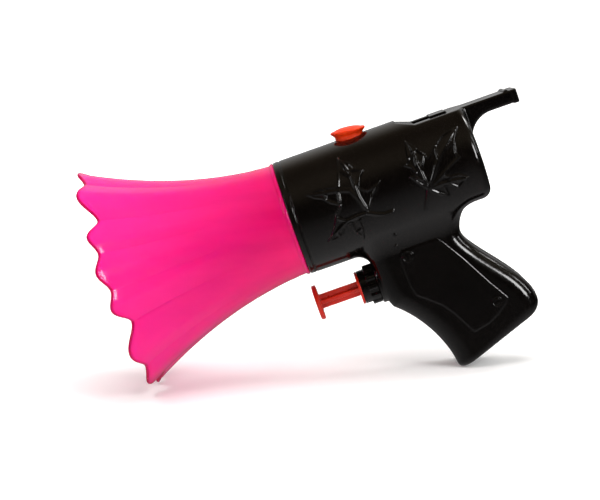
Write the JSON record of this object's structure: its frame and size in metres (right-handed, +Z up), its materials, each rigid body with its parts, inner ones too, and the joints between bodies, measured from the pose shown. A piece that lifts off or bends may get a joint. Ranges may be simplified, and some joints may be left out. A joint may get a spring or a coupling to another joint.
{
  "type": "water squirter whistle",
  "caption": "Hand-held water squirter with a fluted flower bell, a push-trigger pump in the grip, a filler plug and a mouth whistle at the back.",
  "frame": {"origin": "on the floor, under the middle of the object's length and width", "axes": "+X from the bell to the grip, +Z up, with the object standing on its bell rim and the toe of its grip; the side seen in the picture faces -Y"},
  "size_m": [0.1644, 0.0831, 0.1001],
  "materials": {
    "black_plastic": "glossy injection-moulded black",
    "pink_plastic": "glossy translucent pink",
    "red_plastic": "satin moulded red",
    "plug_red": "soft semi-gloss orange red",
    "white_plastic": "natural moulded plastic",
    "grey_plastic": "moulded dark grey",
    "clear_hose": "clear soft hose",
    "seal_rubber": "moulded rubber",
    "spring_steel": "drawn spring wire",
    "ball_steel": "ground steel ball"
  },
  "bodies": {
    "body": {"near_shell": "black_plastic", "far_shell": "black_plastic", "bell": "pink_plastic", "nozzle": "grey_plastic", "delivery_tube": "clear_hose", "outlet_cap": "white_plastic", "pump_head": "white_plastic", "inlet_fitting": "white_plastic", "dip_tube": "clear_hose", "pump_cylinder": "white_plastic", "return_spring": "spring_steel", "gland_nut": "black_plastic", "gland_seal": "seal_rubber", "stem_bush": "red_plastic", "whistle_chamber": "black_plastic", "whistle_bridge": "black_plastic"},
    "trigger_body": {"trigger": "red_plastic", "piston": "white_plastic", "piston_cup": "seal_rubber"},
    "plug_body": {"filler_plug": "plug_red"},
    "inlet_ball_body": {"inlet_ball": "ball_steel"},
    "outlet_ball_body": {"outlet_ball": "ball_steel"}
  },
  "joints": [
    {"name": "trigger_slide", "type": "slide", "parent": "body", "child": "trigger_body", "axis": [0.963, 0, 0.2694], "range_m": [0, 0.011], "stiffness_N_per_m": 150, "springref_m": -0.004, "deforming": ["return_spring"]},
    {"name": "plug_pull", "type": "slide", "parent": "body", "child": "plug_body", "axis": [-0.1673, 0, 0.9859], "range_m": [0, 0.016]},
    {"name": "inlet_ball_lift", "type": "slide", "parent": "body", "child": "inlet_ball_body", "axis": [-0.2694, 0, 0.963], "range_m": [0, 0.0012]},
    {"name": "outlet_ball_lift", "type": "slide", "parent": "body", "child": "outlet_ball_body", "axis": [-0.2694, 0, 0.963], "range_m": [0, 0.0012]}
  ]
}
